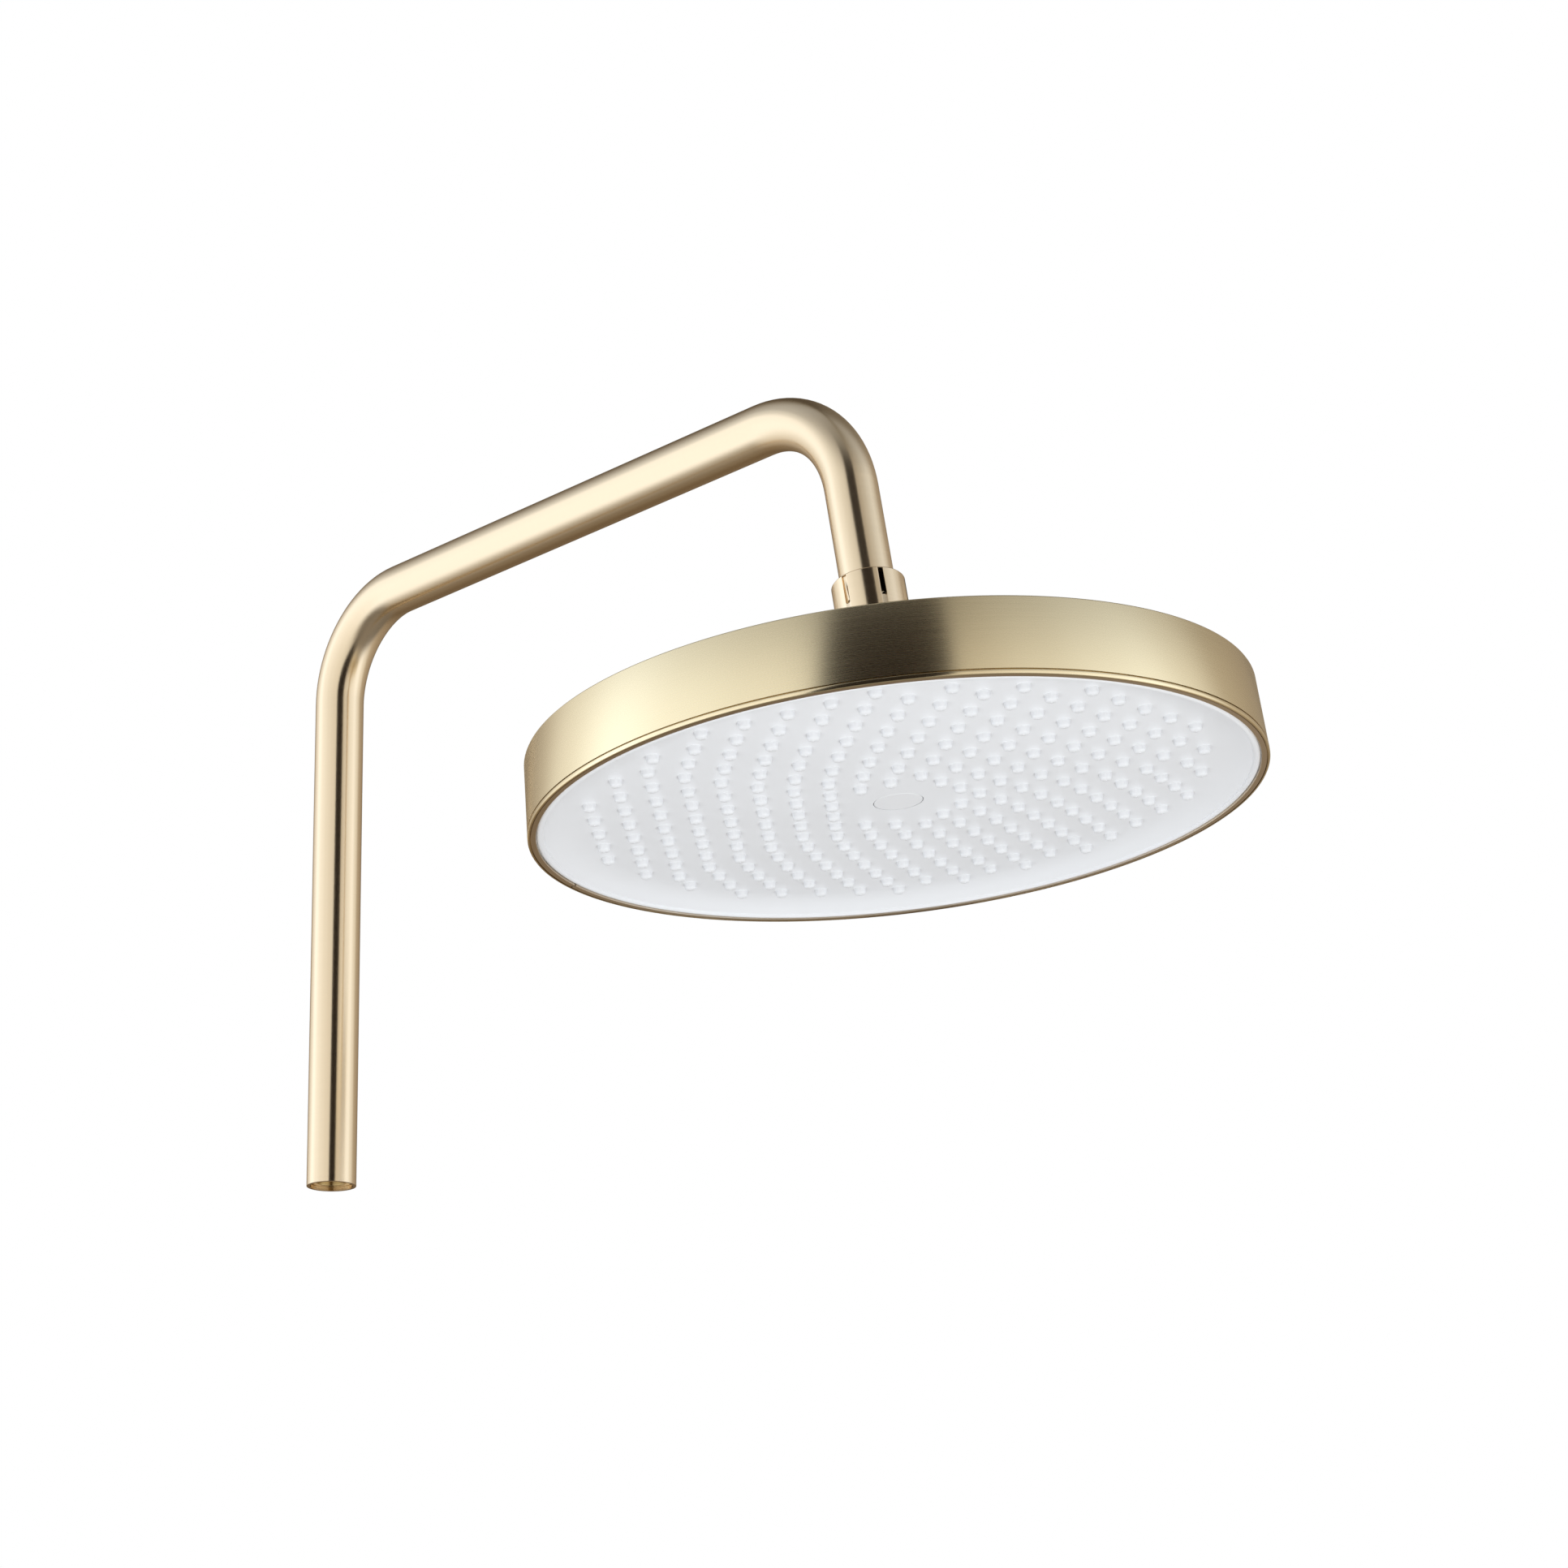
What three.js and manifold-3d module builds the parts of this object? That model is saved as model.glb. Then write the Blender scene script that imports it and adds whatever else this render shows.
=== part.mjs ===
// Rainfall shower column, upper section: a bent riser and arm, a slotted union nut with a
// ball swivel, and a round rain head. Millimetres, +Z up, origin at the centre of the
// riser's lower end, arm reaching toward -Y (away from the wall).
import * as THREE from 'three';
import { mergeVertices } from 'three/addons/utils/BufferGeometryUtils.js';
import Module from 'manifold-3d';

const wasm = await Module();
wasm.setup();

// ---- driving sizes -------------------------------------------------------------------
const armHeight = 233.7;        // riser's lower end to the arm's centre line
const armReach = 282.4;         // riser's centre line to where arm and drop lines cross
const tubeOd = 19;              // 3/4 inch shower tube
const tubeWall = 1.2;
const riserBendR = 38.6;        // centre-line radius of the bend over the riser
const dropBendR = 44.1;         // centre-line radius of the bend over the head
const dropLean = 10;            // degrees the drop leans outward
const headOd = 250;             // rain head across its rim
const headHeight = 26.5;        // rim to the shell's flat top
const headTaper = 1.04;         // radius lost between rim and top
const ballAlong = 104.1;        // arm line to ball centre, along the drop
const ballAboveTop = 27.5;      // ball centre above the shell's flat top, along the head's axis
const headTiltX = 6.257;        // rest tilt of the head about X, from the drop's axis
const headTiltY = -3.311;       // rest tilt of the head sideways
const ballR = 7.6;
const tubeEnd = 18.1;           // the drop tube's end above the ball's centre, along the drop
const nutTop = 29;            // nut's upper end above the ball's centre
const nutBottom = -2.9;         // nut's lower end
const nutWall = 2.2;            // nut's wall round its bore
const flangeStep = 1.1;         // how far the nut's bore stands out from the tube
const socketWall = 1.1;         // swivel socket's wall beside the ball

// ---- clearances ----------------------------------------------------------------------
const gap = 0.3;                // between any two touching pieces
const linerGap = 0.3;           // ball to liner, and liner to seat

const tubeR = tubeOd / 2, boreR = tubeR - tubeWall;
const rimR = headOd / 2, topR = rimR - headTaper, ballAboveRim = headHeight + ballAboveTop;
const linerIn = ballR + linerGap, linerOut = linerIn + 1, seatR = linerOut + linerGap;
const nutBore = Math.max(tubeR + flangeStep, seatR + socketWall + gap), nutR = nutBore + nutWall;
const rad = (deg) => deg * Math.PI / 180;

const group = new THREE.Group();
const finishes = {
  gold: [0xc9ab84, 0.32, 1], brass: [0xb08d4a, 0.4, 1], steel: [0xa9abad, 0.35, 1],
  rubber: [0x1c1c1c, 0.85, 0], white: [0xf1f1f0, 0.35, 0], silicone: [0xe9e9e8, 0.6, 0],
  ptfe: [0xf4f2ea, 0.5, 0], grey: [0x8d9093, 0.5, 0],
};

// One clean closed body: welded, no slivers, faces outward.
function clean(geometry) {
  const g = geometry.index ? geometry.clone() : mergeVertices(geometry.clone(), 1e-4);
  for (const name of Object.keys(g.attributes)) if (name !== 'position') g.deleteAttribute(name);
  const m = mergeVertices(g, 1e-3);
  const p = m.attributes.position, idx = m.index.array, keep = [];
  let volume = 0;
  const a = new THREE.Vector3(), b = new THREE.Vector3(), c = new THREE.Vector3();
  for (let i = 0; i < idx.length; i += 3) {
    if (idx[i] === idx[i + 1] || idx[i + 1] === idx[i + 2] || idx[i] === idx[i + 2]) continue;
    a.fromBufferAttribute(p, idx[i]);
    b.fromBufferAttribute(p, idx[i + 1]);
    c.fromBufferAttribute(p, idx[i + 2]);
    volume += a.dot(b.clone().cross(c));
    keep.push(idx[i], idx[i + 1], idx[i + 2]);
  }
  if (volume < 0) {
    for (let i = 0; i < keep.length; i += 3) [keep[i + 1], keep[i + 2]] = [keep[i + 2], keep[i + 1]];
  }
  m.setIndex(keep);
  return m;
}

function toManifold(geometry) {
  const g = clean(geometry);
  const mesh = new wasm.Mesh({ numProp: 3, vertProperties: new Float32Array(g.attributes.position.array),
    triVerts: new Uint32Array(g.index.array) });
  mesh.merge();
  return new wasm.Manifold(mesh);
}
function fromManifold(solid) {
  const mesh = solid.getMesh();
  const g = new THREE.BufferGeometry();
  g.setAttribute('position', new THREE.BufferAttribute(new Float32Array(mesh.vertProperties), 3));
  g.setIndex(new THREE.BufferAttribute(new Uint32Array(mesh.triVerts), 1));
  return clean(g);
}
const cut = (body, tools) =>
  fromManifold(tools.reduce((s, t) => s.subtract(toManifold(t)), toManifold(body)));
const join = (body, extras) => fromManifold(extras.reduce((s, t) => s.add(toManifold(t)), toManifold(body)));

// A turned piece about Z from a closed list of [radius, height] corners.
function turned(profile, segments = 48) {
  const pts = profile.map(([r, z]) => new THREE.Vector2(Math.max(r, 0), z));
  if (profile[0][0] > 0 || profile[profile.length - 1][0] > 0) pts.push(pts[0].clone());
  return clean(new THREE.LatheGeometry(pts, segments).rotateX(Math.PI / 2));
}
const ring = (rIn, rOut, z0, z1, segments) =>
  turned([[rIn, z0], [rOut, z0], [rOut, z1], [rIn, z1]], segments);
const disc = (r, z0, z1, segments) => turned([[0, z0], [r, z0], [r, z1], [0, z1]], segments);
function cord(radius, section, z, segments = 40) {
  return clean(new THREE.TorusGeometry(radius, section, 6, segments).translate(0, 0, z));
}
function prism(sides, acrossFlats, z0, z1, holeR = 0) {
  const shape = new THREE.Shape();
  const r = acrossFlats / 2 / Math.cos(Math.PI / sides);
  for (let i = 0; i < sides; i++) {
    const t = 2 * Math.PI * i / sides;
    if (i) shape.lineTo(r * Math.cos(t), r * Math.sin(t)); else shape.moveTo(r, 0);
  }
  if (holeR) shape.holes.push(new THREE.Path().absarc(0, 0, holeR, 0, 2 * Math.PI, true));
  return clean(new THREE.ExtrudeGeometry(shape, { depth: z1 - z0, bevelEnabled: false, curveSegments: 12 })
    .translate(0, 0, z0));
}
// Points on a sphere about the origin between two angles measured from straight down.
function zone(radius, from, to, steps) {
  return Array.from({ length: steps + 1 }, (_, i) => {
    const t = rad(from + (to - from) * i / steps);
    return [radius * Math.sin(t), -radius * Math.cos(t)];
  });
}

function add(name, geometry, finish, place) {
  const g = clean(place ? geometry.clone().applyMatrix4(place) : geometry);
  const [color, roughness, metalness] = finishes[finish];
  const mesh = new THREE.Mesh(g, new THREE.MeshStandardMaterial({ color, roughness, metalness }));
  mesh.name = name;
  group.add(mesh);
}

// ---- the three frames ----------------------------------------------------------------
const down = new THREE.Vector3(0, -Math.sin(rad(dropLean)), -Math.cos(rad(dropLean)));
const crossing = new THREE.Vector3(0, -armReach, armHeight);
const ball = crossing.clone().addScaledVector(down, ballAlong);
// drop frame: origin at the ball's centre, +Z back up the drop
const atDrop = new THREE.Matrix4().makeTranslation(ball.x, ball.y, ball.z)
  .multiply(new THREE.Matrix4().makeRotationX(-rad(dropLean)));
// head frame: same origin, turned by the two rest tilts
const atBall = new THREE.Matrix4().makeTranslation(ball.x, ball.y, ball.z)
  .multiply(new THREE.Matrix4().makeRotationX(-rad(dropLean) + rad(headTiltX)))
  .multiply(new THREE.Matrix4().makeRotationY(rad(headTiltY)));
// rim frame: origin at the rim plane
const atRim = atBall.clone().multiply(new THREE.Matrix4().makeTranslation(0, 0, -ballAboveRim));

// ---- 1 bent riser and arm tube -------------------------------------------------------
function stations() {
  const list = [];
  const Z = new THREE.Vector3(0, 0, 1), A = new THREE.Vector3(0, -1, 0);
  const corner1 = new THREE.Vector3(0, 0, armHeight);
  list.push([new THREE.Vector3(0, 0, 0), Z]);
  const turn = (corner, u1, u2, R, steps) => {
    const angle = Math.acos(u1.dot(u2)), back = R * Math.tan(angle / 2);
    const inward = u2.clone().addScaledVector(u1, -u1.dot(u2)).normalize();
    const centre = corner.clone().addScaledVector(u1, -back).addScaledVector(inward, R);
    for (let k = 0; k <= steps; k++) {
      const t = angle * k / steps;
      const p = centre.clone().addScaledVector(inward, -R * Math.cos(t)).addScaledVector(u1, R * Math.sin(t));
      const d = u1.clone().multiplyScalar(Math.cos(t)).addScaledVector(inward, Math.sin(t));
      list.push([p, d]);
    }
  };
  turn(corner1, Z, A, riserBendR, 9);
  turn(crossing, A, down, dropBendR, 9);
  list.push([ball.clone().addScaledVector(down, -tubeEnd), down]);
  return list;
}
function pipe(path, rOut, rIn, n) {
  const pos = [], idx = [], X = new THREE.Vector3(1, 0, 0);
  const rings = [];
  for (const r of [rOut, rIn]) for (const [p, d] of path) {
    const side = new THREE.Vector3().crossVectors(d, X);
    rings.push(pos.length / 3);
    for (let k = 0; k < n; k++) {
      const t = 2 * Math.PI * k / n;
      pos.push(p.x + r * Math.cos(t), p.y + r * side.y * Math.sin(t), p.z + r * side.z * Math.sin(t));
    }
  }
  const band = (a, b, flip) => {
    for (let k = 0; k < n; k++) {
      const l = (k + 1) % n, q = [a + k, a + l, b + l, b + k];
      if (flip) q.reverse();
      idx.push(q[0], q[1], q[2], q[0], q[2], q[3]);
    }
  };
  const m = path.length;
  for (let i = 0; i + 1 < m; i++) {
    band(rings[i], rings[i + 1]);
    band(rings[m + i], rings[m + i + 1], true);
  }
  band(rings[0], rings[m], true);
  band(rings[m - 1], rings[2 * m - 1]);
  const g = new THREE.BufferGeometry();
  g.setAttribute('position', new THREE.BufferAttribute(new Float32Array(pos), 3));
  g.setIndex(idx);
  return clean(g);
}
add('shower_tube', pipe(stations(), tubeR, boreR, 24), 'gold');

// ---- 2 joiner in the riser's lower end -----------------------------------------------
const joinR = boreR - gap, wayR = joinR - 2.4;
add('riser_joiner', turned([[wayR, 1.5], [joinR, 1.5], [joinR, 9], [joinR - 1.4, 9], [joinR - 1.4, 11.2],
  [joinR, 11.2], [joinR, 17], [joinR - 1.4, 17], [joinR - 1.4, 19.2],
  [joinR, 19.2], [joinR, 27], [wayR, 27]], 20), 'brass');
for (const [name, z] of [['joiner_o_ring_lower', 10.1], ['joiner_o_ring_upper', 18.1]]) {
  add(name, cord(joinR - 0.55, 0.5, z, 20), 'rubber');
}

// ---- 3 tail piece, washer, screen, flow disc -----------------------------------------
// Heights over the ball's centre, each stacked on the one before.
const shoulder = tubeEnd - 0.4, flangeTop = shoulder - gap, flangeLow = flangeTop - 2.8;
const washerTop = flangeLow - gap, washerLow = washerTop - 1.4, socketTop = washerLow - gap;
const screenTop = socketTop - 1.4, screenLow = screenTop - 0.6;
const flowTop = screenLow - gap, flowLow = flowTop - 1.6, pressTop = flowLow - gap;
const flangeR = nutBore - gap, insideR = seatR - gap;
add('tail_piece', turned([[wayR, tubeEnd + 14], [wayR, flangeLow], [flangeR, flangeLow], [flangeR, flangeTop],
  [joinR, flangeTop], [joinR, tubeEnd + 14]].reverse(), 20), 'brass', atDrop);
add('union_washer', ring(7.4, flangeR, washerLow, washerTop, 20), 'rubber', atDrop);
const screen = [];
for (let i = 0; i < 6; i++) screen.push(new THREE.CylinderGeometry(1.5, 1.5, 4, 6).rotateX(Math.PI / 2)
  .translate(4.6 * Math.cos(rad(60 * i)), 4.6 * Math.sin(rad(60 * i)), screenLow + 0.3));
add('filter_screen', cut(disc(insideR, screenLow, screenTop, 20), screen), 'steel', atDrop);
add('flow_disc', ring(2.2, insideR, flowLow, flowTop, 20), 'grey', atDrop);

// ---- 4 slotted union nut -------------------------------------------------------------
const slotWide = 1.9, slotLong = 11.4, slotDeep = 0.8, flatDeep = 1.3, flatDown = 11.6;
const nutBody = turned([[tubeR + gap, nutTop], [tubeR + gap, shoulder], [nutBore, shoulder],
  [nutBore, nutBottom], [nutR - 0.6, nutBottom], [nutR, nutBottom + 0.6], [nutR, nutTop - 0.5],
  [nutR - 0.5, nutTop]].reverse(), 40);
const nutCuts = [];
for (let i = 0; i < 6; i++) {
  const s = new THREE.Shape();
  s.moveTo(-slotWide / 2, 3).lineTo(-slotWide / 2, -slotLong + slotWide / 2);
  s.absarc(0, -slotLong + slotWide / 2, slotWide / 2, Math.PI, 2 * Math.PI, false);
  s.lineTo(slotWide / 2, 3);
  const g = new THREE.ExtrudeGeometry(s, { depth: 4, bevelEnabled: false, curveSegments: 5 });
  g.rotateX(Math.PI / 2).rotateZ(Math.PI / 2).translate(nutR - slotDeep, 0, nutTop);
  nutCuts.push(g.rotateZ(rad(244 + 60 * i)));
}
for (const side of [0, 180]) {
  nutCuts.push(new THREE.BoxGeometry(6, 30, 30).translate(nutR - flatDeep + 3, 0, nutTop - flatDown - 15)
    .rotateZ(rad(310 + side)));
}
add('union_nut', cut(nutBody, nutCuts), 'gold', atDrop);

// ---- 5 ball swivel -------------------------------------------------------------------
const mouth = 50;
add('swivel_socket', turned([...zone(seatR, mouth, 90, 6), [seatR, socketTop], [flangeR - 0.4, socketTop],
  [flangeR, socketTop - 0.4], [flangeR, nutBottom - 2.6], [flangeR - 0.8, nutBottom - 3.6],
  [seatR * Math.sin(rad(mouth)) + 0.5, nutBottom - 3.6]], 24), 'brass', atDrop);
add('pressure_ring', turned([...zone(seatR + 0.2, 125, 146, 3).reverse(),
  [5.1, pressTop], [insideR, pressTop],
  [insideR, 5.6]], 24), 'brass', atDrop);
const liner = (from, to) =>
  turned([...zone(linerIn, from, to, 3), ...zone(linerOut, from, to, 3).reverse()], 24);
add('ball_liner_upper', liner(108, 130), 'ptfe', atDrop);
add('ball_liner_lower', liner(52, 72), 'ptfe', atBall);
const up = (z) => z - ballAboveTop;          // a height over the shell's top as a ball-frame height
const stemR = 6.6, neckR = 4.5, waterR = 2.8;
add('ball_stem', turned([[waterR, up(3.1)], [stemR - 0.5, up(3.1)], [stemR, up(3.6)], [stemR, up(16.7)],
  [neckR, up(18.7)], ...zone(ballR, 36.31, 158.38, 8)], 24), 'brass', atBall);
add('stem_locknut', prism(6, 17, headHeight + 12, headHeight + 15.5, stemR + gap), 'gold', atRim);

// ---- 6 inlet boss and its ring nut ---------------------------------------------------
const bossHole = 14.3, topThick = 1.2, H = headHeight;
add('inlet_boss', turned([[9.3, H - 4.5], [9.3, H + 2.5], [stemR + gap, H + 2.7], [stemR + gap, H + 11.7],
  [10.2, H + 11.7], [11.2, H + 10.9], [12.4, H + 4.5], [14.5, H + 2.3], [17.2, H + 1.5], [17.6, H + 1],
  [17.6, H + gap], [bossHole - gap, H + gap], [bossHole - gap, H - 4.5]], 32),
  'gold', atRim);
const ringNutTop = H - topThick - gap;
add('boss_ring_nut', prism(6, 38, ringNutTop - 2.6, ringNutTop, bossHole + 0.05), 'brass', atRim);
add('inlet_o_ring', cord(8.6, 0.6, H - 3.6, 20), 'rubber', atRim);

// ---- 7 head shell, bead ring, split ring ---------------------------------------------
const wall = 1.05, big = 40, shellLow = 1.9, beadTall = 1.6, splitWide = 1;
add('head_shell', turned([[rimR - 0.05, shellLow], [topR, headHeight - 0.6], [topR - 0.6, headHeight],
  [bossHole, headHeight], [bossHole, headHeight - topThick], [topR - wall, headHeight - topThick],
  [rimR - 0.05 - wall, shellLow]], big), 'gold', atRim);
// The bead ring hangs from the shell's inside; the split ring fills the recess below it.
add('bead_ring', turned([[rimR - 0.8, 0], [rimR - 0.3, 0], [rimR, 0.35], [rimR, beadTall],
  [rimR - 1.4, beadTall], [rimR - 1.4, 6.4], [rimR - 2.2, 6.4], [rimR - 2.2, 1.4],
  [rimR - 0.8, 1.4]], big), 'gold', atRim);
const splitGap = new THREE.BoxGeometry(8, splitWide, 4).translate(rimR - 2, 0, 0.7).rotateZ(rad(112));
add('split_ring', cut(ring(rimR - 2.9, rimR - 0.8 - gap, 0.1, 1.4 - gap, big), [splitGap]), 'gold', atRim);

// ---- 8 white face ring and nozzle mat ------------------------------------------------
const lipIn = rimR - 5.8, matR = rimR - 4.1;
add('face_ring', turned([[lipIn, 1.1], [lipIn + 0.45, 0.4], [lipIn + 1.1, 0.1], [lipIn + 2.1, 0.4],
  [lipIn + 2.6, 1.1], [lipIn + 2.6, 1.5], [rimR - 2.5, 1.5], [rimR - 2.5, 10.2], [rimR - 3.8, 10.2],
  [rimR - 3.8, 5], [lipIn, 5]], big),
  'white', atRim);
const faceZ = 2.4, faceRise = 2.92336;      // the face bulges down toward its middle
const nozzleTall = 2.4, nozzleR = 2.2, capR = 8.25, matThick = 1.6, carrierThick = 2.2;
const domeAt = (r) => faceZ + faceRise * (r / matR) ** 2;
const domeLine = (from, to, rise) => [0, 1, 2].map((i) => from + (to - from) * i / 2)
  .map((r) => [r, domeAt(r) + rise]);
// Nozzles stand on five-sided rings: ring k has k nozzles along each side, the rings draw
// slightly together outward, and nothing stands outside the last full circle.
const firstRing = 3, ringCount = 8, firstFlat = 22.2, ringTighten = 0.047, patternTurn = 24.25;
const patternEdge = rimR - 19, lastFlat = patternEdge - 4.763, steps = ringCount - 1;
const ringStep = (lastFlat - firstFlat) / steps + ringTighten * steps;
function nozzleSpots() {
  const spots = [];
  for (let i = 0; i < ringCount; i++) {
    const k = firstRing + i, corner = (firstFlat + ringStep * i - ringTighten * i * i) / Math.cos(rad(36));
    for (let s = 0; s < 5; s++) for (let j = 0; j < k; j++) {
      const a = rad(patternTurn + 72 * s), b = a + rad(72), u = j / k;
      const x = corner * ((1 - u) * Math.cos(a) + u * Math.cos(b));
      const y = corner * ((1 - u) * Math.sin(a) + u * Math.sin(b));
      if (Math.hypot(x, y) <= patternEdge) spots.push([x, y]);
    }
  }
  return spots;
}
// The mat is one soft sheet with a five-sided pin for each nozzle. Past the last nozzles its
// front curls down to meet the lip, and a step above the curl rests on the face ring.
function nozzleMat() {
  const pins = nozzleSpots().map(([x, y]) =>
    new THREE.CylinderGeometry(nozzleR, nozzleR - 0.5, nozzleTall + 0.6, 5)
    .rotateX(Math.PI / 2).translate(x, y, domeAt(Math.hypot(x, y)) - nozzleTall / 2 + 0.3));
  const edge = lipIn - gap, curl = [[edge - 9.5, 4.5], [edge - 5.5, 3.6], [edge - 2.2, 2.1], [edge, 1.4]];
  const sheet = turned([...domeLine(capR + gap, patternEdge, 0), ...curl,
    [edge, domeAt(matR)], [matR, domeAt(matR)],
    ...domeLine(capR + gap, matR, matThick).reverse()], 20);
  return join(sheet, pins);
}
add('nozzle_mat', nozzleMat(), 'silicone', atRim);

// ---- 9 carrier, gasket, back plate ---------------------------------------------------
const screwCircle = rimR - 25, screwCount = 8, plateTop = H - 7, plateLow = plateTop - 2.5;
const around = (i) => rad(22.5 + 360 * i / screwCount);
const carrierLow = matThick + gap, carrierHigh = carrierLow + carrierThick;
const carrierDisc = turned([[2.6, 7.9], [7.7, 7.9], ...domeLine(7.7, matR, carrierLow),
  ...domeLine(9.6, matR, carrierHigh).reverse(), [9.6, 9.9], [2.6, 9.9]], 20);
const posts = [], holes = [], plateHoles = [];
for (let i = 0; i < screwCount; i++) {
  const x = screwCircle * Math.cos(around(i)), y = screwCircle * Math.sin(around(i));
  posts.push(disc(3.6, 7.5, plateLow - gap, 10).translate(x, y, 0));
  holes.push(disc(1.8, 8.4, plateLow + 1.4, 8).translate(x, y, 0));
  plateHoles.push(disc(1.8, plateLow - 4, plateTop + 3.5, 8).translate(x, y, 0));
}
// Curved feed slots lie behind the nozzle rings.
const slotRows = [[74, 70], [56, 51], [36, 30], [16, 10]].map((row) => row.map((d) => screwCircle - d));
const slotsPerRow = 5;
for (const [r0, r1] of slotRows) for (let i = 0; i < slotsPerRow; i++) {
  const a0 = rad(72 * i + 8), a1 = rad(72 * i + 64);
  const s = new THREE.Shape();
  s.absarc(0, 0, r1, a0, a1, false);
  s.absarc(0, 0, r0, a1, a0, true);
  const slot = new THREE.ExtrudeGeometry(s, { depth: 8, bevelEnabled: false, curveSegments: 3 });
  holes.push(slot.translate(0, 0, 3.6));
}
add('carrier_plate', cut(join(carrierDisc, posts), holes), 'white', atRim);
add('chamber_gasket', ring(rimR - 7.4, rimR - 5.7, 9.7, 10.5, big), 'rubber', atRim);
const windows = [];
for (let i = 0; i < 4; i++) windows.push(disc(1.1, plateLow - 4, plateTop + 3.5, 8)
  .translate(4.9 * Math.cos(rad(45 + 90 * i)), 4.9 * Math.sin(rad(45 + 90 * i)), 0));
add('back_plate', cut(turned([[0, plateLow - 1], [2.4, plateLow - 1], [2.4, 10.2], [3.7, 10.2],
  [3.7, plateLow],
  [rimR - 7.6, plateLow], [rimR - 7.6, 10.8], [rimR - 5.5, 10.8], [rimR - 5.5, plateTop], [9, plateTop],
  [9, H - 4.4], [7.8, H - 4.4], [7.8, H - 2.8], [9, H - 2.8], [9, H - 1.5], [6.6, H - 1.5], [6.6, plateTop],
  [0, plateTop]], big), [...plateHoles, ...windows]), 'white', atRim);

// ---- 10 screws and centre cap --------------------------------------------------------
for (let i = 0; i < screwCount; i++) {
  const screw = turned([[0, 9], [1.4, 9], [1.4, plateTop + gap], [2.9, plateTop + gap], [2.9, plateTop + 1.9],
    [0, plateTop + 1.9]], 10);
  screw.translate(screwCircle * Math.cos(around(i)), screwCircle * Math.sin(around(i)), 0);
  add('plate_screw_' + (i + 1), screw, 'steel', atRim);
}
add('centre_screw', turned([[0, 5.4], [4.2, 5.4], [4.2, 7.6], [2.1, 7.6], [2.1, plateLow - 1.6],
  [0, plateLow - 1.6]], 16), 'steel', atRim);
add('centre_cap', turned([[0, faceZ], [capR, faceZ], [capR, 3.8], [7.3, 3.8], [7.3, 6.4], [6.3, 6.4],
  [6.3, 3.8],
  [0, 3.8]], 32), 'white', atRim);

export default group;
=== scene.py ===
"""Rainfall shower column, upper length: a bent brushed-gold tube, a slotted union nut with a
ball swivel, and a round rain head with a white nozzle face. The sections follow the order in
which the column is put together, from the riser's foot to the head's centre cap."""
import math

import bpy
from mathutils import Matrix, Vector


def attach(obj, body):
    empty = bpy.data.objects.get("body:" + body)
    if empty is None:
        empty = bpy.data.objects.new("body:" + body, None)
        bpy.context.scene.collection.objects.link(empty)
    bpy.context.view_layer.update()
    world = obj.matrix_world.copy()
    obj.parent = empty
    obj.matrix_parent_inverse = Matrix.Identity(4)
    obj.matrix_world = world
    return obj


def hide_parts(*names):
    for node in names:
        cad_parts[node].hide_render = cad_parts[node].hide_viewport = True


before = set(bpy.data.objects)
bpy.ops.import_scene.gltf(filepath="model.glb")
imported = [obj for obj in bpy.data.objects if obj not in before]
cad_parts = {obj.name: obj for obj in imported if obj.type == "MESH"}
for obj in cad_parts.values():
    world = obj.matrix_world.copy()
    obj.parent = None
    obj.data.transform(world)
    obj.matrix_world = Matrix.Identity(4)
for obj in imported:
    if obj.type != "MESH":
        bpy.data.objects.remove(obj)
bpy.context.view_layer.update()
MM = 0.001

# ---- camera ---------------------------------------------------------------------------
# A long lens below and to the left of the head, looking up at its face.
camera_place = Vector((-877.6, -1148.0, -317.8)) * MM
look_yaw, look_pitch, look_roll = (math.radians(a) for a in (-44.411, 18.363, -1.221))
look = Vector((-math.sin(look_yaw) * math.cos(look_pitch), math.cos(look_yaw) * math.cos(look_pitch),
               math.sin(look_pitch)))
level_right = Vector((math.cos(look_yaw), math.sin(look_yaw), 0))
level_up = level_right.cross(look)
picture_right = level_right * math.cos(look_roll) + level_up * math.sin(look_roll)
picture_up = level_up * math.cos(look_roll) - level_right * math.sin(look_roll)
camera_data = bpy.data.cameras.new("long_lens")
camera_data.sensor_width = 36
camera_data.lens = 4704.5 * 36 / 1932
camera_data.clip_end = 60
camera = bpy.data.objects.new("camera", camera_data)
camera.matrix_world = Matrix.Translation(camera_place) @ Matrix(
    (picture_right, picture_up, -look)).transposed().to_4x4()
bpy.context.scene.collection.objects.link(camera)
bpy.context.scene.camera = camera
bpy.context.scene.view_settings.view_transform = "Standard"

# ---- shower tube ----------------------------------------------------------------------
# One 19 mm brass tube with a 1.2 mm wall, bent twice on a mandrel: riser, arm and drop.
# It is brushed round its girth and plated champagne gold.
tube_radius, tube_wall = 9.5 * MM, 1.2 * MM
arm_height, arm_reach = 233.7 * MM, 282.4 * MM
riser_bend, drop_bend = 38.6 * MM, 44.1 * MM
drop_lean = math.radians(10)
drop_length = 86 * MM


def start_shape():
    """Leave edit mode and select nothing, so an operator only acts on the new piece."""
    if bpy.context.object and bpy.context.object.mode != "OBJECT":
        bpy.ops.object.mode_set(mode="OBJECT")
    bpy.ops.object.select_all(action="DESELECT")


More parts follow.
